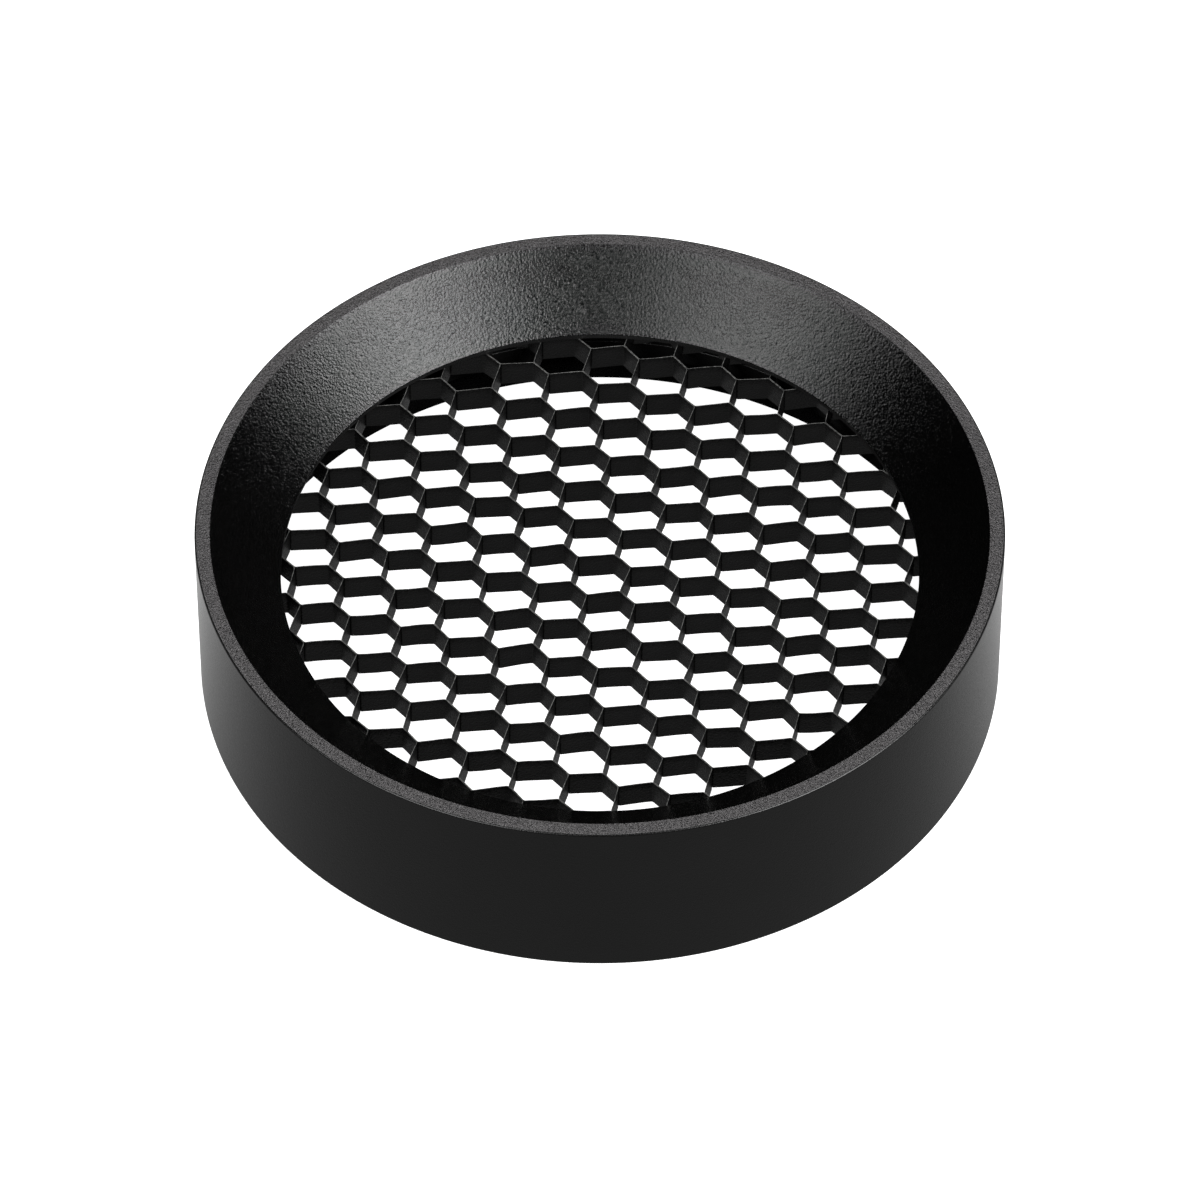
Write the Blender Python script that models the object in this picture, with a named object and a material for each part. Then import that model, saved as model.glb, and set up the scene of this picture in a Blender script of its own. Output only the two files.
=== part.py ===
"""Honeycomb grid for a studio light: a round moulded shell with a funnel mouth, a disc of expanded foil
honeycomb made of bonded ribbons, and a rear ring with magnets that keeps the honeycomb in.

Metres, +Z up. The origin is the centre of the rear rim's plane, and +Z points out of the funnel mouth.
"""

import math

import bmesh
import bpy
from mathutils import Vector

MM = 0.001

# Shell
OUTER_R = 49.8 * MM
HEIGHT = 24.2 * MM
RIM_EDGE = 0.25 * MM
BASE_EDGE = 0.3 * MM
RIM_INNER_R = 47.9 * MM
RIM_INNER_EDGE = 0.25 * MM
THROAT_R = 39.4 * MM
THROAT_TOP_Z = 16.5 * MM
LIP_UNDER_Z = 15.8 * MM
POCKET_R = 44.0 * MM
POCKET_WALL = 1.4 * MM
POCKET_FOOT_Z = 12.2 * MM
FUNNEL_WALL = 2.2 * MM
SOCKET_R = 46.6 * MM
LEAD_IN_R = 47.4 * MM
LEAD_IN_Z = 1.1 * MM
GROOVE_R = 47.1 * MM
GROOVE_Z = (9.4 * MM, 10.6 * MM)
TURN_STEPS = 72

# Honeycomb: the three wall directions of one cell, as centre lines seen from above
WALL_A = Vector((4.20, 0.50)) * MM
WALL_B = Vector((1.93, -2.25)) * MM
WALL_C = Vector((-1.13, -3.91)) * MM
CELL_CENTRE = Vector((0.0, -0.48)) * MM
CELL_CORNER = Vector((1.70, 3.35)) * MM
FOIL = 0.08 * MM
GLUE = 0.02 * MM
COMB_R = 43.8 * MM
COMB_Z = (12.0 * MM, 15.72 * MM)
SHORTEST_RIBBON = 2.0 * MM

# Rear ring and its magnets
RING_INNER_R = 42.5 * MM
RING_OUTER_R = 46.3 * MM
RING_Z = (9.1 * MM, 11.95 * MM)
RING_EDGE = 0.3 * MM
BEAD_R = 46.75 * MM
BEAD_Z = (9.6 * MM, 10.4 * MM)
MAGNET_COUNT = 8
MAGNET_R = 1.5 * MM
MAGNET_HEIGHT = 1.5 * MM
MAGNET_CIRCLE_R = 44.4 * MM
MAGNET_GAP = 0.1 * MM
MAGNET_EDGE = 0.2 * MM
MAGNET_SINK = 0.1 * MM
ROUND_SEGMENTS = 20


def clear_scene():
    for obj in list(bpy.data.objects):
        bpy.data.objects.remove(obj, do_unlink=True)


def material(name, colour, roughness, metallic):
    made = bpy.data.materials.new(name)
    made.use_nodes = True
    shader = made.node_tree.nodes["Principled BSDF"]
    shader.inputs["Base Color"].default_value = (*colour, 1.0)
    shader.inputs["Roughness"].default_value = roughness
    shader.inputs["Metallic"].default_value = metallic
    return made


def add_object(name, mesh, finish=None, parent=None):
    obj = bpy.data.objects.new(name, mesh)
    bpy.context.collection.objects.link(obj)
    obj.parent = parent
    if finish:
        mesh.materials.append(finish)
    return obj


def turned(name, profile, finish, parent):
    """A closed outline of (radius, height) points, turned once round the Z axis."""
    mesh = bpy.data.meshes.new(name)
    count = len(profile)
    edges = [(i, (i + 1) % count) for i in range(count)]
    mesh.from_pydata([(r, 0.0, z) for r, z in profile], edges, [])
    obj = add_object(name, mesh, finish, parent)
    screw = obj.modifiers.new("turn", "SCREW")
    screw.angle = math.tau
    screw.steps = TURN_STEPS
    screw.render_steps = TURN_STEPS
    screw.use_merge_vertices = True
    screw.merge_threshold = 0.00001
    screw.use_smooth_shade = True
    return obj


def disc(name, radius, low, high, finish=None, parent=None):
    """An upright cylinder between two heights, centred on its own origin."""
    mesh = bpy.data.meshes.new(name)
    shape = bmesh.new()
    bmesh.ops.create_cone(
        shape, cap_ends=True, segments=ROUND_SEGMENTS, radius1=radius, radius2=radius, depth=high - low
    )
    bmesh.ops.translate(shape, verts=shape.verts, vec=(0.0, 0.0, (low + high) / 2))
    shape.to_mesh(mesh)
    shape.free()
    mesh.shade_smooth()
    mesh.set_sharp_from_angle(angle=math.radians(30))
    return add_object(name, mesh, finish, parent)


def funnel_z(radius):
    """Height of the funnel's face at a radius."""
    slope = (HEIGHT - THROAT_TOP_Z) / (RIM_INNER_R - THROAT_R)
    return THROAT_TOP_Z + (radius - THROAT_R) * slope


def shell_profile():
    """Down the outside, up inside the socket, round the cored-out groove, the comb's pocket and the funnel."""
    run = RIM_INNER_R - THROAT_R
    rise = HEIGHT - THROAT_TOP_Z
    drop = FUNNEL_WALL * math.hypot(run, rise) / run
    edge_mid = RIM_EDGE * (1 - math.sqrt(0.5))
    groove_inner = POCKET_R + POCKET_WALL
    outside = [
        (OUTER_R - RIM_EDGE, HEIGHT),
        (OUTER_R - edge_mid, HEIGHT - edge_mid),
        (OUTER_R, HEIGHT - RIM_EDGE),
        (OUTER_R, BASE_EDGE),
        (OUTER_R - BASE_EDGE, 0.0),
    ]
    socket = [
        (LEAD_IN_R, 0.0),
        (SOCKET_R, LEAD_IN_Z),
        (SOCKET_R, GROOVE_Z[0]),
        (GROOVE_R, GROOVE_Z[0]),
        (GROOVE_R, GROOVE_Z[1]),
        (SOCKET_R, GROOVE_Z[1]),
    ]
    cored_out = [
        (SOCKET_R, funnel_z(SOCKET_R) - drop),
        (groove_inner, funnel_z(groove_inner) - drop),
        (groove_inner, POCKET_FOOT_Z),
    ]
    pocket = [
        (POCKET_R, POCKET_FOOT_Z),
        (POCKET_R, LIP_UNDER_Z),
        (THROAT_R, LIP_UNDER_Z),
    ]
    funnel = [
        (THROAT_R, THROAT_TOP_Z),
        (RIM_INNER_R, HEIGHT - RIM_INNER_EDGE),
        (RIM_INNER_R + RIM_INNER_EDGE, HEIGHT),
    ]
    return outside + socket + cored_out + pocket + funnel


def ring_profile():
    """The rear ring's section: a flat annulus with a snap bead round its outside."""
    low, high = RING_Z
    return [
        (RING_OUTER_R - RING_EDGE, high),
        (RING_OUTER_R, high - RING_EDGE),
        (RING_OUTER_R, BEAD_Z[1]),
        (BEAD_R, BEAD_Z[1] - (BEAD_R - RING_OUTER_R) / 2),
        (BEAD_R, BEAD_Z[0] + (BEAD_R - RING_OUTER_R) / 2),
        (RING_OUTER_R, BEAD_Z[0]),
        (RING_OUTER_R, low + RING_EDGE),
        (RING_OUTER_R - RING_EDGE, low),
        (RING_INNER_R + RING_EDGE, low),
        (RING_INNER_R, low + RING_EDGE),
        (RING_INNER_R, high),
    ]


def magnet_places():
    """Centres of the magnets, with one pair either side of the -Y axis."""
    step = math.tau / MAGNET_COUNT
    for i in range(MAGNET_COUNT):
        angle = (i + 0.5) * step - math.pi / 2
        yield i + 1, MAGNET_CIRCLE_R * math.cos(angle), MAGNET_CIRCLE_R * math.sin(angle)


def cut_magnet_pockets(ring):
    """Blind pockets for the magnets, open on the ring's rear face."""
    top = RING_Z[0] + MAGNET_SINK + MAGNET_HEIGHT + MAGNET_GAP
    for number, x, y in magnet_places():
        cutter = disc(f"pocket_cutter_{number}", MAGNET_R + MAGNET_GAP, RING_Z[0] - 1.0 * MM, top)
        cutter.location = (x, y, 0.0)
        cutter.hide_render = True
        cutter.display_type = "WIRE"
        cut = ring.modifiers.new(f"pocket_{number}", "BOOLEAN")
        cut.operation = "DIFFERENCE"
        cut.solver = "EXACT"
        cut.object = cutter


def add_magnets(finish, parent):
    low = RING_Z[0] + MAGNET_SINK
    for number, x, y in magnet_places():
        magnet = disc(f"magnet_{number}", MAGNET_R, low, low + MAGNET_HEIGHT, finish, parent)
        magnet.location = (x, y, 0.0)
        edge = magnet.modifiers.new("edge", "BEVEL")
        edge.width = MAGNET_EDGE
        edge.segments = 1


def ribbon_line(number):
    """Centre line of one foil ribbon, longer than the comb at both ends.

    A ribbon zigzags B, A, B, C. Its B walls are glued to a neighbour, in turn on either side, so they stand
    half a foil and half a glue line off the cell's own outline.
    """
    across = Vector((-WALL_B.y, WALL_B.x)).normalized() * (FOIL + GLUE) / 2
    period = WALL_A + WALL_B * 2 + WALL_C
    step = WALL_A + WALL_B
    turns = math.ceil(COMB_R / period.length) + 1
    start = CELL_CENTRE + CELL_CORNER - step + number * step
    start -= period * round(start.dot(period) / period.length_squared)
    line = []
    for i in range(-turns, turns + 1):
        lower = start + i * period
        upper = lower + step
        line += [lower + across, lower + WALL_B + across, upper - across, upper + WALL_B - across]
    return line


def cut_at_circle(line, radius):
    """The stretches of an open line that lie inside a circle round the origin."""
    runs = []
    run = []
    for a, b in zip(line, line[1:]):
        along = b - a
        half_b = a.dot(along) / along.length_squared
        inside = half_b**2 - (a.length_squared - radius**2) / along.length_squared
        if inside <= 0:
            continue
        enter = max(0.0, -half_b - math.sqrt(inside))
        leave = min(1.0, -half_b + math.sqrt(inside))
        if enter >= leave:
            continue
        if not run or enter > 0:
            run = [a + along * enter]
            runs.append(run)
        run.append(a + along * leave)
        if leave < 1:
            run = []
    return [r for r in runs if sum((q - p).length for p, q in zip(r, r[1:])) > SHORTEST_RIBBON]


def side_points(line, offset):
    """The line moved sideways by the offset, with mitred corners."""
    moved = []
    ways = [(b - a).normalized() for a, b in zip(line, line[1:])]
    for i, point in enumerate(line):
        before = ways[max(i - 1, 0)]
        after = ways[min(i, len(ways) - 1)]
        middle = (Vector((-before.y, before.x)) + Vector((-after.y, after.x))).normalized()
        moved.append(point + middle * offset / middle.dot(Vector((-after.y, after.x))))
    return moved


def foil_mesh(name, line):
    """A strip of foil standing on edge along a line."""
    left = side_points(line, FOIL / 2)
    right = side_points(line, -FOIL / 2)
    outline = left + right[::-1]
    count = len(outline)
    last = len(line) - 1
    verts = [(*p, z) for z in COMB_Z for p in outline]
    faces = [(i, (i + 1) % count, (i + 1) % count + count, i + count) for i in range(count)]
    for i in range(last):
        under = (i, i + 1, count - 2 - i, count - 1 - i)
        faces.append(under)
        faces.append(tuple(v + count for v in reversed(under)))
    mesh = bpy.data.meshes.new(name)
    mesh.from_pydata(verts, [], faces)
    shape = bmesh.new()
    shape.from_mesh(mesh)
    bmesh.ops.recalc_face_normals(shape, faces=shape.faces)
    shape.to_mesh(mesh)
    shape.free()
    return mesh


def add_ribbons(finish, parent):
    """Every stretch of every ribbon that the round comb holds, numbered across the comb."""
    across = Vector((-WALL_B.y, WALL_B.x)).normalized()
    spacing = abs((WALL_A + WALL_B).dot(across))
    reach = math.ceil(COMB_R / spacing) + 1
    made = 0
    for number in range(-reach, reach + 1):
        runs = cut_at_circle(ribbon_line(number), COMB_R)
        if not runs:
            continue
        made += 1
        runs.sort(key=len, reverse=True)
        for piece, run in enumerate(runs):
            name = f"comb_ribbon_{made:02d}" + (f"_offcut_{piece}" if piece else "")
            add_object(name, foil_mesh(name, run), finish, parent)


def main():
    clear_scene()
    black_shell = material("black_textured_plastic", (0.012, 0.012, 0.013), 0.55, 0.0)
    black_ring = material("black_plastic", (0.015, 0.015, 0.016), 0.5, 0.0)
    black_foil = material("black_foil", (0.02, 0.02, 0.021), 0.45, 0.6)
    nickel = material("nickel", (0.62, 0.61, 0.58), 0.25, 1.0)

    grid = bpy.data.objects.new("honeycomb_grid", None)
    bpy.context.collection.objects.link(grid)
    turned("front_shell", shell_profile(), black_shell, grid)
    cut_magnet_pockets(turned("rear_ring", ring_profile(), black_ring, grid))
    add_magnets(nickel, grid)
    add_ribbons(black_foil, grid)


main()
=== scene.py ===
"""Looks of the honeycomb grid: shell and rear ring, foil ribbons with round bends, magnets, and studio."""

import math

import bmesh
import bpy
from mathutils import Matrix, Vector, noise


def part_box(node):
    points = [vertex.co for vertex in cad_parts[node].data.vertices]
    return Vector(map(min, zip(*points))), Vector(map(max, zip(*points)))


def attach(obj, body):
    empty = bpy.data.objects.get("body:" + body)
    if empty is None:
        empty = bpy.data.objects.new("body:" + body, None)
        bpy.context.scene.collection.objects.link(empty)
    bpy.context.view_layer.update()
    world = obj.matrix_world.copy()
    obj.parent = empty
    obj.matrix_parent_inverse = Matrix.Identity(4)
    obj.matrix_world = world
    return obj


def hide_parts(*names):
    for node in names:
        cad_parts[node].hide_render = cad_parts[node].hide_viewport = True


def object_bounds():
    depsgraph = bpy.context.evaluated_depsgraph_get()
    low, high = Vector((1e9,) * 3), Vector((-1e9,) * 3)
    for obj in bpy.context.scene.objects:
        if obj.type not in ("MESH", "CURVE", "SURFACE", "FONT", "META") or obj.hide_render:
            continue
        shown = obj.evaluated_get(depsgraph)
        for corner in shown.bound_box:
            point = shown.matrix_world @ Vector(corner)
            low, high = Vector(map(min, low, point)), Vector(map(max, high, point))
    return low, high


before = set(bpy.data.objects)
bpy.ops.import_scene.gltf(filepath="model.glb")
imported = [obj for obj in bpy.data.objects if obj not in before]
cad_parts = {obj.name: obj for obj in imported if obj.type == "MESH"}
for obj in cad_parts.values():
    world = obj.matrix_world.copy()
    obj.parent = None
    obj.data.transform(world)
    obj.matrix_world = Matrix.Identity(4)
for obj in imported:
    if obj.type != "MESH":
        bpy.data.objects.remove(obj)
cad_low, cad_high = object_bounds()

MM = 0.001
BODY = "root"

# Shell: the same section as the CAD shell
SHELL_R = cad_high.x
HEIGHT = cad_high.z
RIM_INNER_R = 47.9 * MM
THROAT_R = 39.4 * MM
THROAT_Z = 16.5 * MM
LIP_UNDER_Z = 15.8 * MM
POCKET_R = 44.0 * MM
POCKET_WALL = 1.4 * MM
POCKET_FOOT_Z = 12.2 * MM
FUNNEL_WALL = 2.2 * MM
SOCKET_R = 46.6 * MM
LEAD_IN_R = 47.4 * MM
LEAD_IN_Z = 1.1 * MM
GROOVE_R = 47.1 * MM
GROOVE_Z = (9.4 * MM, 10.6 * MM)

# Rear ring: the same section as the CAD ring
RING_INNER_R = 42.5 * MM
RING_OUTER_R = 46.3 * MM
BEAD_Z = (9.6 * MM, 10.4 * MM)

# Rounded edges of the shell and the ring
RIM_OUTER_EDGE = 0.25 * MM
RIM_INNER_EDGE = 0.15 * MM
THROAT_EDGE = 0.12 * MM
POCKET_EDGE = 0.08 * MM
SOCKET_EDGE = 0.15 * MM
BROAD_EDGE = 0.3 * MM
FINE_EDGE = 0.1 * MM
TURN_SEGMENTS = 288
ARC_STEPS = 6
SHARP_ANGLE = math.radians(40)
FULL_WEIGHT = 100

# Magnets
DISC_SEGMENTS = 64
MAGNET_EDGE = 0.2 * MM
MAGNET_EDGE_STEPS = 3
MAGNET_GAP = 0.1 * MM
CUTTER_OVERRUN = 1.0 * MM

# Comb: the walls and places of the CAD comb, then its rounded bends, its uneven stretch and its cut edge
WALL_A = Vector((4.20, 0.50)) * MM
WALL_B = Vector((1.93, -2.25)) * MM
WALL_C = Vector((-1.13, -3.91)) * MM
CELL_CENTRE = Vector((0.0, -0.48)) * MM
CELL_CORNER = Vector((1.70, 3.35)) * MM
FOIL = 0.08 * MM
GLUE = 0.02 * MM
COMB_R = 43.8 * MM
SHORTEST_RIBBON = 2.0 * MM
BEND_R = 0.34 * MM
BEND_STEPS = 6
BEND_SHARE = 0.45
WALL_STEP = 0.7 * MM
STRETCH_FAULT = 0.4 * MM
STRETCH_SPAN = 7.0 * MM
STRETCH_SEED = 3
STRETCH_LEAN = 0.35
STRETCH_FADE = 3.0 * MM
CUT_EDGE_SHARE = 0.7
CUT_EDGE_FAULT = 0.03 * MM
CUT_EDGE_SPAN = 0.8 * MM

# Finishes
NOISE_LOW = 0.3
NOISE_HIGH = 0.7
PEBBLE_SMOOTHNESS = 0.6
PEBBLE_SIZE_SHARE = 1.5
PEBBLE_DEPTH_SHARE = 0.4
CLOUD_SIZE = 9.0 * MM
CLOUD_CONTRAST = 1.3
RIM_TINT = (1.0, 0.96, 0.975)

# Floor and tables: the floor is seen, and the tables give light
FLOOR_R = 6.0
FLOOR_Z = -0.1 * MM
SHADED_TABLE_R = SHELL_R - 0.5 * MM
SHADED_TABLE_Z = -0.2 * MM
SHADED_TABLE_GLOW = 0.21
LIT_TABLE_R = 0.30
LIT_TABLE_Z = -0.3 * MM
LIT_TABLE_RISE_Y = (-60.0 * MM, 15.0 * MM)
LIT_TABLE_GLOW = (0.22, 1.12)
LIT_TABLE_CURVE = 3.0

# Lamps, world and camera
LAMP_DISTANCE = 0.9
WORLD_GLOW = 0.006
CAMERA_TARGET = Vector((0.015, 0.0, 10.35)) * MM
CAMERA_ELEVATION = math.radians(48.45)
CAMERA_DISTANCE = 1.0752
CAMERA_LENS = 260.1
CAMERA_SENSOR = 36.0


# ---------------------------------------------------------------- meshes


def place(name, mesh, slot, *replaced):
    """Puts a piece in the scene, on the body, standing for its CAD nodes."""
    obj = bpy.data.objects.new(name, mesh)
    bpy.context.scene.collection.objects.link(obj)
    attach(obj, BODY)
    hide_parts(*replaced)
    return obj


def rounded(outline):
    """Points and finishes from corners: radius, height, rounding, finish of the stretch that follows."""
    points = []
    finishes = []
    count = len(outline)
    for i, (r, z, rounding, finish) in enumerate(outline):
        corner = Vector((r, z))
        before = Vector(outline[i - 1][:2]) - corner
        after = Vector(outline[(i + 1) % count][:2]) - corner
        if rounding == 0:
            points.append(corner)
            finishes.append(finish)
            continue
        half = before.angle(after) / 2
        reach = rounding / math.tan(half)
        start = corner + before.normalized() * reach
        end = corner + after.normalized() * reach
        middle = (before.normalized() + after.normalized()).normalized()
        centre = corner + middle * rounding / math.sin(half)
        for step in range(ARC_STEPS + 1):
            way = (start - centre).lerp(end - centre, step / ARC_STEPS)
            points.append(centre + way.normalized() * rounding)
            finishes.append(finish)
    return points, finishes


def smooth(mesh):
    """Shades the mesh smooth, except across its sharp edges."""
    mesh.shade_smooth()
    mesh.set_sharp_from_angle(angle=SHARP_ANGLE)


def closed_mesh(name, verts, faces, indices, finishes):
    """A smooth mesh with outward normals, and with one of the finishes on each face."""
    mesh = bpy.data.meshes.new(name)
    mesh.from_pydata(verts, [], faces)
    mesh.polygons.foreach_set("material_index", indices)
    for finish in finishes:
        mesh.materials.append(finish)
    shape = bmesh.new()
    shape.from_mesh(mesh)
    bmesh.ops.recalc_face_normals(shape, faces=shape.faces)
    shape.to_mesh(mesh)
    shape.free()
    smooth(mesh)
    return mesh


def turned_mesh(name, outline, finishes):
    """A closed outline turned round Z, with one material slot for each finish."""
    points, wanted = rounded(outline)
    slots = list(finishes)
    count = len(points)
    verts = []
    for i in range(TURN_SEGMENTS):
        angle = math.tau * i / TURN_SEGMENTS
        verts += [(p.x * math.cos(angle), p.x * math.sin(angle), p.y) for p in points]
    faces = []
    indices = []
    for i in range(TURN_SEGMENTS):
        here = i * count
        there = (i + 1) % TURN_SEGMENTS * count
        for j in range(count):
            k = (j + 1) % count
            faces.append((here + j, here + k, there + k, there + j))
            indices.append(slots.index(wanted[j]))
    return closed_mesh(name, verts, faces, indices, finishes.values())


def weigh_normals(obj):
    """Keeps flat faces flat beside the small rounded edges."""
    weighted = obj.modifiers.new("flat_faces", "WEIGHTED_NORMAL")
    weighted.keep_sharp = True
    weighted.weight = FULL_WEIGHT


# ---------------------------------------------------------------- materials


class Finish:
    """A Principled material with short calls for the nodes that these finishes share."""

    def __init__(self, name, **constants):
        self.material = bpy.data.materials.new(name)
        self.material.use_nodes = True
        self.tree = self.material.node_tree
        self.shader = self.tree.nodes["Principled BSDF"]
        for socket, value in constants.items():
            self.shader.inputs[socket.replace("_", " ")].default_value = value
        self.coords = self.tree.nodes.new("ShaderNodeTexCoord").outputs["Object"]

    def link(self, source, target):
        self.tree.links.new(source, target)

    def noise(self, size, detail=2.0, roughness=0.5, stretch=None):
        """Noise with blotches of about this size, in metres; stretch is their size on each axis."""
        texture = self.tree.nodes.new("ShaderNodeTexNoise")
        texture.inputs["Scale"].default_value = 1.0 / size
        texture.inputs["Detail"].default_value = detail
        texture.inputs["Roughness"].default_value = roughness
        coords = self.coords
        if stretch:
            mapping = self.tree.nodes.new("ShaderNodeMapping")
            mapping.inputs["Scale"].default_value = [1.0 / s for s in stretch]
            self.link(coords, mapping.inputs["Vector"])
            coords = mapping.outputs["Vector"]
        self.link(coords, texture.inputs["Vector"])
        return texture.outputs["Fac"]

    def cells(self, size):
        """Rounded pebbles of about this size."""
        texture = self.tree.nodes.new("ShaderNodeTexVoronoi")
        texture.feature = "SMOOTH_F1"
        texture.inputs["Scale"].default_value = 1.0 / size
        texture.inputs["Smoothness"].default_value = PEBBLE_SMOOTHNESS
        self.link(self.coords, texture.inputs["Vector"])
        return texture.outputs["Distance"]

    def ranged(self, value, low, high):
        """A value from a texture, spread between two numbers."""
        spread = self.tree.nodes.new("ShaderNodeMapRange")
        spread.inputs["From Min"].default_value = NOISE_LOW
        spread.inputs["From Max"].default_value = NOISE_HIGH
        spread.inputs["To Min"].default_value = low
        spread.inputs["To Max"].default_value = high
        self.link(value, spread.inputs["Value"])
        return spread.outputs["Result"]

    def colours(self, value, dark, light):
        """A colour between two, picked by a texture."""
        mix = self.tree.nodes.new("ShaderNodeMix")
        mix.data_type = "RGBA"
        self.link(self.ranged(value, 0.0, 1.0), mix.inputs["Factor"])
        mix.inputs["A"].default_value = (*dark, 1.0)
        mix.inputs["B"].default_value = (*light, 1.0)
        self.link(mix.outputs["Result"], self.shader.inputs["Base Color"])

    def roughness(self, value, in_pits, on_peaks):
        """A roughness between two, picked by a texture."""
        self.link(self.ranged(value, in_pits, on_peaks), self.shader.inputs["Roughness"])

    def bumps(self, *layers):
        """Bumps from (texture value, height in metres) layers, the broadest first."""
        under = None
        for value, height in layers:
            bump = self.tree.nodes.new("ShaderNodeBump")
            bump.inputs["Distance"].default_value = height
            bump.inputs["Strength"].default_value = 1.0
            self.link(value, bump.inputs["Height"])
            if under:
                self.link(under, bump.inputs["Normal"])
            under = bump.outputs["Normal"]
        self.link(under, self.shader.inputs["Normal"])


def moulded_black(name, tone, grain, depth, rough, uneven=0.04, tint=(1.0, 1.0, 1.0)):
    """Black plastic from a textured mould: one size of grain, uneven gloss, faint clouds of tone."""
    finish = Finish(name, Metallic=0.0, Specular_IOR_Level=0.5, Specular_Tint=(*tint, 1.0))
    clouds = finish.noise(CLOUD_SIZE, detail=3.0)
    grit = finish.noise(grain, detail=2.0, roughness=0.6)
    finish.colours(clouds, dark=[tone / CLOUD_CONTRAST] * 3, light=[tone * CLOUD_CONTRAST] * 3)
    finish.roughness(grit, in_pits=rough + uneven, on_peaks=rough - uneven)
    finish.bumps((finish.cells(grain * PEBBLE_SIZE_SHARE), depth * PEBBLE_DEPTH_SHARE), (grit, depth))
    return finish.material


def coated_foil():
    """Black coated foil: a grainy coating over faint rolling marks that run up the wall."""
    finish = Finish("coated_foil", Metallic=0.0, Specular_IOR_Level=0.3)
    grit = finish.noise(0.28 * MM, detail=2.0, roughness=0.6)
    marks = finish.noise(1.0, detail=2.0, stretch=(0.15 * MM, 0.15 * MM, 1.6 * MM))
    finish.colours(grit, dark=(0.0008, 0.0008, 0.0008), light=(0.003, 0.003, 0.003))
    finish.roughness(grit, in_pits=0.20, on_peaks=0.46)
    finish.bumps((marks, 0.010 * MM), (grit, 0.070 * MM))
    return finish.material


def cut_foil_edge():
    """The foil's cut edge, where the coating is thin and the metal shows in places."""
    finish = Finish("foil_cut_edge", Metallic=0.7, Specular_IOR_Level=0.5)
    nicks = finish.noise(0.5 * MM, detail=3.0, roughness=0.6)
    finish.colours(nicks, dark=(0.06, 0.06, 0.06), light=(0.30, 0.30, 0.29))
    finish.roughness(nicks, in_pits=0.4, on_peaks=0.6)
    finish.bumps((nicks, 0.01 * MM))
    return finish.material


def nickel_plate():
    """Bright nickel with fine tumbling marks."""
    finish = Finish("nickel_plate", Metallic=1.0)
    marks = finish.noise(0.35 * MM, detail=4.0, roughness=0.7)
    finish.colours(marks, dark=(0.56, 0.55, 0.52), light=(0.66, 0.65, 0.62))
    finish.roughness(marks, in_pits=0.16, on_peaks=0.30)
    finish.bumps((marks, 0.002 * MM))
    return finish.material


# ---------------------------------------------------------------- shell and ring


def make_shell():
    """The moulded shell: fine grain outside, coarser on the rim and in the funnel, nearly plain inside."""
    finishes = {
        "outside": moulded_black(
            "shell_outside", tone=0.0015, grain=0.20 * MM, depth=0.025 * MM, rough=0.30
        ),
        "rim": moulded_black(
            "shell_rim", tone=0.006, grain=0.22 * MM, depth=0.07 * MM, rough=0.26, uneven=0.08, tint=RIM_TINT
        ),
        "inside": moulded_black(
            "shell_inside", tone=0.012, grain=0.20 * MM, depth=0.010 * MM, rough=0.28
        ),
        "funnel": moulded_black(
            "shell_funnel", tone=0.0005, grain=0.25 * MM, depth=0.080 * MM, rough=0.17, uneven=0.06
        ),
    }
    run = RIM_INNER_R - THROAT_R
    rise = HEIGHT - THROAT_Z
    drop = FUNNEL_WALL * math.hypot(run, rise) / run
    pocket_back = POCKET_R + POCKET_WALL

    def under_funnel(radius):
        return THROAT_Z + (radius - THROAT_R) * rise / run - drop

    outline = [
        (SHELL_R, HEIGHT, RIM_OUTER_EDGE, "outside"),
        (SHELL_R, 0.0, BROAD_EDGE, "inside"),
        (LEAD_IN_R, 0.0, FINE_EDGE, "inside"),
        (SOCKET_R, LEAD_IN_Z, SOCKET_EDGE, "inside"),
        (SOCKET_R, GROOVE_Z[0], FINE_EDGE, "inside"),
        (GROOVE_R, GROOVE_Z[0], FINE_EDGE, "inside"),
        (GROOVE_R, GROOVE_Z[1], FINE_EDGE, "inside"),
        (SOCKET_R, GROOVE_Z[1], FINE_EDGE, "inside"),
        (SOCKET_R, under_funnel(SOCKET_R), BROAD_EDGE, "inside"),
        (pocket_back, under_funnel(pocket_back), BROAD_EDGE, "inside"),
        (pocket_back, POCKET_FOOT_Z, FINE_EDGE, "inside"),
        (POCKET_R, POCKET_FOOT_Z, FINE_EDGE, "inside"),
        (POCKET_R, LIP_UNDER_Z, POCKET_EDGE, "inside"),
        (THROAT_R, LIP_UNDER_Z, FINE_EDGE, "inside"),
        (THROAT_R, THROAT_Z, THROAT_EDGE, "funnel"),
        (RIM_INNER_R, HEIGHT, RIM_INNER_EDGE, "rim"),
    ]
    mesh = turned_mesh("shell_moulding", outline, finishes)
    weigh_normals(place("shell_moulding", mesh, "shell_plastic", "front_shell"))


def magnet_names():
    return sorted(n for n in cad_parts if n.startswith("magnet_"))


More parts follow.
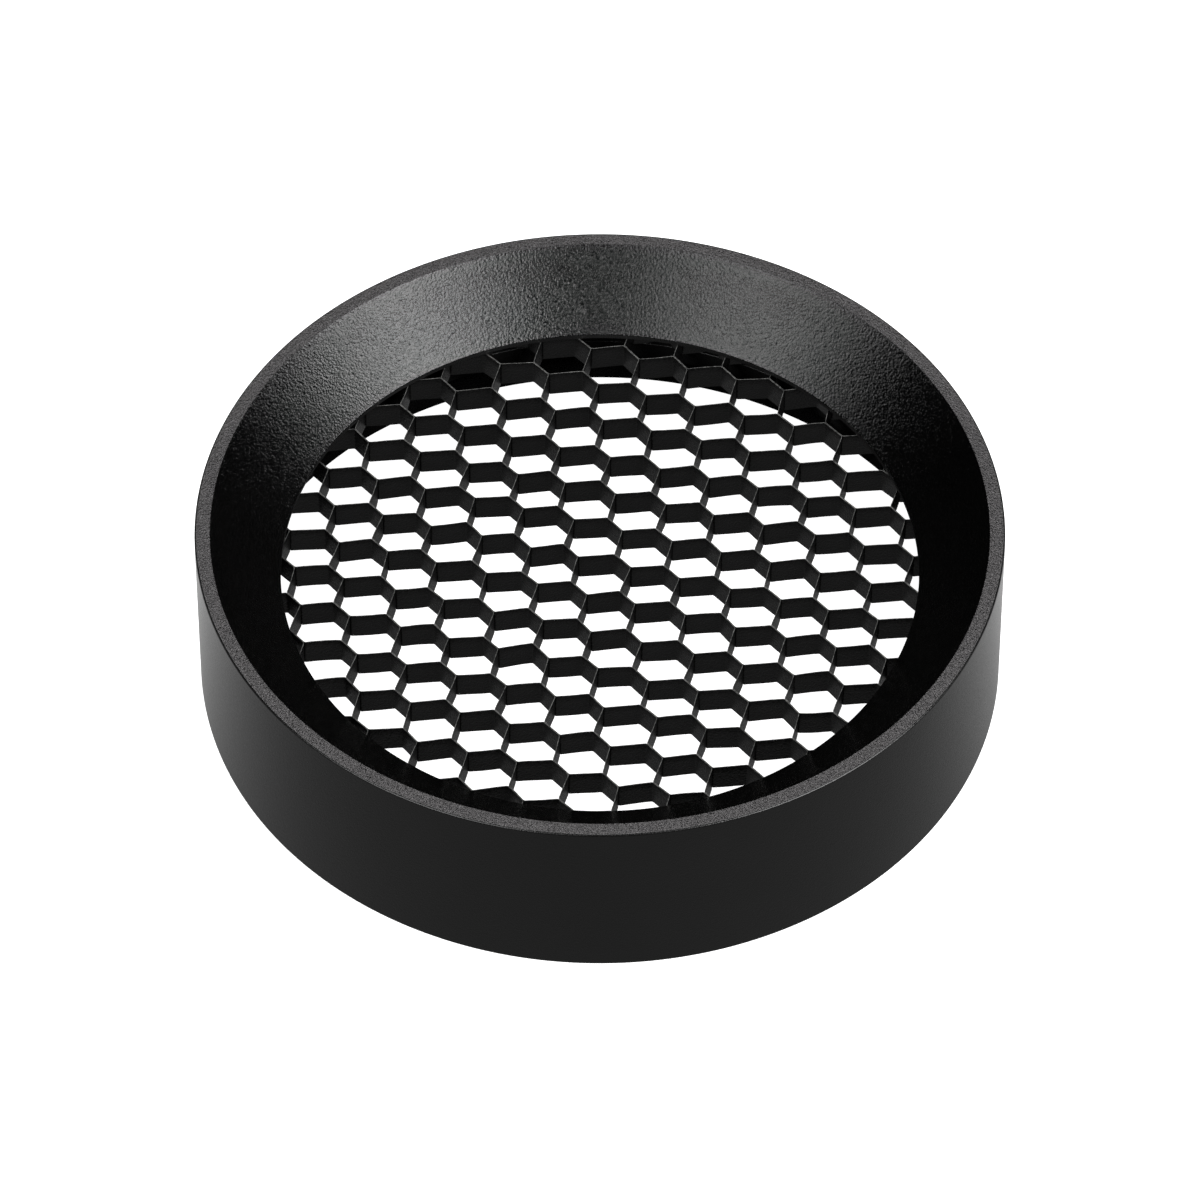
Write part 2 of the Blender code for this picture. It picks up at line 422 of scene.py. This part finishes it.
def make_ring():
    """The rear ring, with its snap bead and magnet pockets."""
    low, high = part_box("rear_ring")
    bead_r = high.x
    bead_slope = (bead_r - RING_OUTER_R) / 2
    plastic = moulded_black("ring_plastic", tone=0.012, grain=0.20 * MM, depth=0.012 * MM, rough=0.30)
    finishes = {"ring": plastic}
    outline = [
        (RING_OUTER_R, high.z, BROAD_EDGE, "ring"),
        (RING_OUTER_R, BEAD_Z[1], 0.0, "ring"),
        (bead_r, BEAD_Z[1] - bead_slope, FINE_EDGE, "ring"),
        (bead_r, BEAD_Z[0] + bead_slope, FINE_EDGE, "ring"),
        (RING_OUTER_R, BEAD_Z[0], 0.0, "ring"),
        (RING_OUTER_R, low.z, BROAD_EDGE, "ring"),
        (RING_INNER_R, low.z, BROAD_EDGE, "ring"),
        (RING_INNER_R, high.z, FINE_EDGE, "ring"),
    ]
    mesh = turned_mesh("ring_moulding", outline, finishes)
    ring = place("ring_moulding", mesh, "ring_plastic", "rear_ring")
    for name in magnet_names():
        cut_pocket(ring, name)
    weigh_normals(ring)


def upright_disc(name, centre, radius, low, high, edge=0.0):
    """A cylinder between two heights, with rounded edges if it is given an edge."""
    shape = bmesh.new()
    bmesh.ops.create_cone(
        shape, cap_ends=True, segments=DISC_SEGMENTS, radius1=radius, radius2=radius, depth=high - low
    )
    bmesh.ops.translate(shape, verts=shape.verts, vec=(centre.x, centre.y, (low + high) / 2))
    if edge:
        rims = [e for e in shape.edges if abs(e.verts[0].co.z - e.verts[1].co.z) < edge]
        bmesh.ops.bevel(
            shape, geom=rims, offset=edge, segments=MAGNET_EDGE_STEPS, affect="EDGES", profile=0.5
        )
    mesh = bpy.data.meshes.new(name)
    shape.to_mesh(mesh)
    shape.free()
    smooth(mesh)
    return mesh


def cut_pocket(ring, magnet):
    """Cuts a blind pocket in the ring, open to the rear and a little larger than the magnet."""
    low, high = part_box(magnet)
    radius = (high.x - low.x) / 2 + MAGNET_GAP
    mesh = upright_disc("pocket", (low + high) / 2, radius, low.z - CUTTER_OVERRUN, high.z + MAGNET_GAP)
    cutter = bpy.data.objects.new("pocket", mesh)
    bpy.context.scene.collection.objects.link(cutter)
    cut = ring.modifiers.new("pocket", "BOOLEAN")
    cut.operation = "DIFFERENCE"
    cut.solver = "EXACT"
    cut.object = cutter
    graph = bpy.context.evaluated_depsgraph_get()
    cut_mesh = bpy.data.meshes.new_from_object(ring.evaluated_get(graph))
    ring.modifiers.remove(cut)
    ring.data = cut_mesh
    bpy.data.objects.remove(cutter)


def make_magnets():
    """A nickel disc in each pocket of the ring."""
    plate = nickel_plate()
    for name in magnet_names():
        low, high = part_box(name)
        radius = (high.x - low.x) / 2
        mesh = upright_disc(name + "_disc", (low + high) / 2, radius, low.z, high.z, MAGNET_EDGE)
        mesh.materials.append(plate)
        weigh_normals(place(name + "_disc", mesh, "magnet_nickel", name))


# ---------------------------------------------------------------- comb


def ribbon_line(number):
    """Centre line of one foil ribbon, as in the CAD comb: B, A, B, C, with the B walls glued in turn."""
    across = Vector((-WALL_B.y, WALL_B.x)).normalized() * (FOIL + GLUE) / 2
    period = WALL_A + WALL_B * 2 + WALL_C
    step = WALL_A + WALL_B
    turns = math.ceil(COMB_R / period.length) + 1
    start = CELL_CENTRE + CELL_CORNER - step + number * step
    start -= period * round(start.dot(period) / period.length_squared)
    line = []
    for i in range(-turns, turns + 1):
        lower = start + i * period
        upper = lower + step
        line += [lower + across, lower + WALL_B + across, upper - across, upper + WALL_B - across]
    return line


def cut_at_circle(line, radius):
    """The stretches of an open line that lie inside a circle round the origin."""
    runs = []
    run = []
    for a, b in zip(line, line[1:]):
        along = b - a
        half_b = a.dot(along) / along.length_squared
        inside = half_b**2 - (a.length_squared - radius**2) / along.length_squared
        if inside <= 0:
            continue
        enter = max(0.0, -half_b - math.sqrt(inside))
        leave = min(1.0, -half_b + math.sqrt(inside))
        if enter >= leave:
            continue
        if not run or enter > 0:
            run = [a + along * enter]
            runs.append(run)
        run.append(a + along * leave)
        if leave < 1:
            run = []
    return [r for r in runs if sum((q - p).length for p, q in zip(r, r[1:])) > SHORTEST_RIBBON]


def bent(line):
    """The line with rounded bends and extra points along its walls."""
    points = [line[0]]
    for before, corner, after in zip(line, line[1:], line[2:]):
        back = before - corner
        on = after - corner
        half = back.angle(on) / 2
        reach = min(BEND_R / math.tan(half), back.length * BEND_SHARE, on.length * BEND_SHARE)
        radius = reach * math.tan(half)
        middle = (back.normalized() + on.normalized()).normalized()
        centre = corner + middle * radius / math.sin(half)
        start = corner + back.normalized() * reach - centre
        end = corner + on.normalized() * reach - centre
        add_wall(points, centre + start)
        for step in range(1, BEND_STEPS + 1):
            points.append(centre + start.lerp(end, step / BEND_STEPS).normalized() * radius)
    add_wall(points, line[-1])
    return points


def add_wall(points, end):
    """Carries the points on to the end of a wall, in short steps."""
    start = points[-1]
    steps = max(1, round((end - start).length / WALL_STEP))
    points += [start.lerp(end, i / steps) for i in range(1, steps + 1)]


def stretch_fault(x, y, z):
    """How far the unevenly stretched comb is off its regular shape; smooth, so that walls never cross."""
    where = Vector((x, y, z * STRETCH_LEAN)) / STRETCH_SPAN
    fault = noise.noise_vector(where, noise_basis="PERLIN_ORIGINAL")
    ease = max(0.0, min(1.0, (COMB_R - math.hypot(x, y)) / STRETCH_FADE))
    return fault.xy * STRETCH_FAULT * ease


def ribbon_mesh(name, line, finishes, low, high):
    """A strip of foil on edge along a line; its upper edge is rounded, uneven and in the second finish."""
    points = bent(line)
    ways = [(b - a).normalized() for a, b in zip(points, points[1:])]
    half = FOIL / 2
    face = [(half, low), (half, (low * 2 + high) / 3), (half, (low + high * 2) / 3), (half, high - half)]
    top = [(half * CUT_EDGE_SHARE, high - half * (1 - CUT_EDGE_SHARE)), (0.0, high)]
    section = face + top
    section += [(-across, z) for across, z in section[-2::-1]]
    count = len(section)
    cut_edge = range(len(face) - 1, count - len(face))
    verts = []
    for i, p in enumerate(points):
        before = ways[max(i - 1, 0)]
        after = ways[min(i, len(ways) - 1)]
        way = (before + after).normalized()
        side = Vector((-way.y, way.x))
        # Never above zero, so the cut edge stays at or under the CAD's height
        burr = (noise.noise(Vector((p.x, p.y, 0.0)) / CUT_EDGE_SPAN) - 1.0) * CUT_EDGE_FAULT
        for across, z in section:
            if z > high - FOIL:
                z += burr
            at = p + side * across + stretch_fault(p.x, p.y, z)
            verts.append((at.x, at.y, z))
    faces = []
    indices = []
    for i in range(len(points) - 1):
        here = i * count
        there = here + count
        for j in range(count):
            k = (j + 1) % count
            faces.append((here + j, here + k, there + k, there + j))
            indices.append(1 if j in cut_edge else 0)
    for here in (0, (len(points) - 1) * count):
        faces.append(tuple(range(here, here + count)))
        indices.append(0)
    return closed_mesh(name, verts, faces, indices, finishes)


def make_comb():
    """Every stretch of every ribbon, with the CAD nodes' numbers."""
    noise.seed_set(STRETCH_SEED)
    finishes = (coated_foil(), cut_foil_edge())
    across = Vector((-WALL_B.y, WALL_B.x)).normalized()
    spacing = abs((WALL_A + WALL_B).dot(across))
    reach = math.ceil(COMB_R / spacing) + 1
    made = 0
    foils = []
    for number in range(-reach, reach + 1):
        runs = cut_at_circle(ribbon_line(number), COMB_R)
        if not runs:
            continue
        made += 1
        runs.sort(key=len, reverse=True)
        for piece, run in enumerate(runs):
            ending = f"{made:02d}" + (f"_offcut_{piece}" if piece else "")
            low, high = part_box("comb_ribbon_" + ending)
            name = "foil_ribbon_" + ending
            mesh = ribbon_mesh(name, run, finishes, low.z, high.z)
            foils.append(place(name, mesh, "comb_foil", "comb_ribbon_" + ending))
    return foils


# ---------------------------------------------------------------- studio


def glowing(name, strength, tone):
    """A white glow over a surface of the given tone, with no gloss."""
    made = bpy.data.materials.new(name)
    made.use_nodes = True
    shader = made.node_tree.nodes["Principled BSDF"]
    shader.inputs["Base Color"].default_value = (tone, tone, tone, 1.0)
    shader.inputs["Specular IOR Level"].default_value = 0.0
    shader.inputs["Emission Color"].default_value = (1.0, 1.0, 1.0, 1.0)
    shader.inputs["Emission Strength"].default_value = strength
    return made


def round_plate(name, radius, height, finish):
    """A flat disc of the studio, at a height."""
    mesh = bpy.data.meshes.new(name)
    shape = bmesh.new()
    bmesh.ops.create_circle(shape, cap_ends=True, segments=DISC_SEGMENTS, radius=radius)
    shape.to_mesh(mesh)
    shape.free()
    mesh.materials.append(finish)
    plate = bpy.data.objects.new(name, mesh)
    bpy.context.scene.collection.objects.link(plate)
    plate.location.z = height
    return plate


def make_floor():
    """A white floor that only the camera sees."""
    floor = round_plate("floor", FLOOR_R, FLOOR_Z, glowing("floor_white", strength=1.0, tone=0.8))
    floor.visible_diffuse = False
    floor.visible_glossy = False
    floor.visible_shadow = False


def brighten_to_the_back(glow):
    """Lets a glow rise along Y, slowly at first and steeply at the end."""
    nodes = glow.node_tree.nodes
    links = glow.node_tree.links
    apart = nodes.new("ShaderNodeSeparateXYZ")
    along = nodes.new("ShaderNodeMapRange")
    along.inputs["From Min"].default_value = LIT_TABLE_RISE_Y[0]
    along.inputs["From Max"].default_value = LIT_TABLE_RISE_Y[1]
    curve = nodes.new("ShaderNodeMath")
    curve.operation = "POWER"
    curve.inputs[1].default_value = LIT_TABLE_CURVE
    spread = nodes.new("ShaderNodeMapRange")
    spread.inputs["To Min"].default_value = LIT_TABLE_GLOW[0]
    spread.inputs["To Max"].default_value = LIT_TABLE_GLOW[1]
    links.new(nodes.new("ShaderNodeTexCoord").outputs["Object"], apart.inputs["Vector"])
    links.new(apart.outputs["Y"], along.inputs["Value"])
    links.new(along.outputs["Result"], curve.inputs[0])
    links.new(curve.outputs["Value"], spread.inputs["Value"])
    links.new(spread.outputs["Result"], nodes["Principled BSDF"].inputs["Emission Strength"])


def make_lit_table():
    """A table that lights the object from below and isn't seen."""
    glow = glowing("table_white", strength=1.0, tone=0.0)
    brighten_to_the_back(glow)
    table = round_plate("lit_table", LIT_TABLE_R, LIT_TABLE_Z, glow)
    table.visible_camera = False


def make_shaded_table(foils):
    """The dimmer table right under the object: it covers the lit one there, and lights the foils alone."""
    glow = glowing("table_grey", strength=SHADED_TABLE_GLOW, tone=0.0)
    shade = round_plate("shaded_table", SHADED_TABLE_R, SHADED_TABLE_Z, glow)
    shade.visible_camera = False
    receivers = bpy.data.collections.new("lit_from_below")
    for foil in foils:
        receivers.objects.link(foil)
    shade.light_linking.receiver_collection = receivers


def softbox(name, azimuth, elevation, size, power):
    """A flat lamp that faces the object; azimuth 0 is at the camera's side, and 90 at the right."""
    turn = math.radians(azimuth)
    up = math.radians(elevation)
    way = Vector((math.sin(turn) * math.cos(up), -math.cos(turn) * math.cos(up), math.sin(up)))
    lamp = bpy.data.lights.new(name, "AREA")
    lamp.shape = "RECTANGLE"
    lamp.size, lamp.size_y = size
    lamp.energy = power
    obj = bpy.data.objects.new(name, lamp)
    bpy.context.scene.collection.objects.link(obj)
    obj.location = Vector((0.0, 0.0, HEIGHT)) + way * LAMP_DISTANCE
    obj.rotation_mode = "QUATERNION"
    obj.rotation_quaternion = (-way).to_track_quat("-Z", "Y")
    obj.visible_camera = False


def make_lights():
    """A strong lamp on the right, a weaker one on the left, and a small one behind."""
    softbox("right_softbox", azimuth=60, elevation=37, size=(0.6, 0.6), power=10.4)
    softbox("left_softbox", azimuth=-47, elevation=40, size=(0.6, 0.6), power=5.8)
    softbox("back_softbox", azimuth=180, elevation=56, size=(0.4, 0.3), power=2.9)


def make_world():
    """White to the camera, and almost dark to the object."""
    world = bpy.data.worlds.new("studio")
    bpy.context.scene.world = world
    world.use_nodes = True
    nodes = world.node_tree.nodes
    links = world.node_tree.links
    path = nodes.new("ShaderNodeLightPath")
    mix = nodes.new("ShaderNodeMix")
    mix.data_type = "RGBA"
    mix.inputs["A"].default_value = (WORLD_GLOW, WORLD_GLOW, WORLD_GLOW, 1.0)
    mix.inputs["B"].default_value = (1.0, 1.0, 1.0, 1.0)
    links.new(path.outputs["Is Camera Ray"], mix.inputs["Factor"])
    links.new(mix.outputs["Result"], nodes["Background"].inputs["Color"])


def make_camera():
    """A long lens from the front, 48 degrees above the horizon."""
    way = Vector((0.0, -math.cos(CAMERA_ELEVATION), math.sin(CAMERA_ELEVATION)))
    camera = bpy.data.cameras.new("camera")
    camera.lens = CAMERA_LENS
    camera.sensor_width = CAMERA_SENSOR
    camera.clip_start = 0.01
    camera.clip_end = 20.0
    obj = bpy.data.objects.new("camera", camera)
    bpy.context.scene.collection.objects.link(obj)
    obj.location = CAMERA_TARGET + way * CAMERA_DISTANCE
    obj.rotation_mode = "QUATERNION"
    obj.rotation_quaternion = (-way).to_track_quat("-Z", "Y")
    bpy.context.scene.camera = obj
    bpy.context.scene.view_settings.view_transform = "Standard"


make_camera()
make_shell()
make_ring()
make_magnets()
comb_foils = make_comb()
make_floor()
make_lit_table()
make_shaded_table(comb_foils)
make_lights()
make_world()
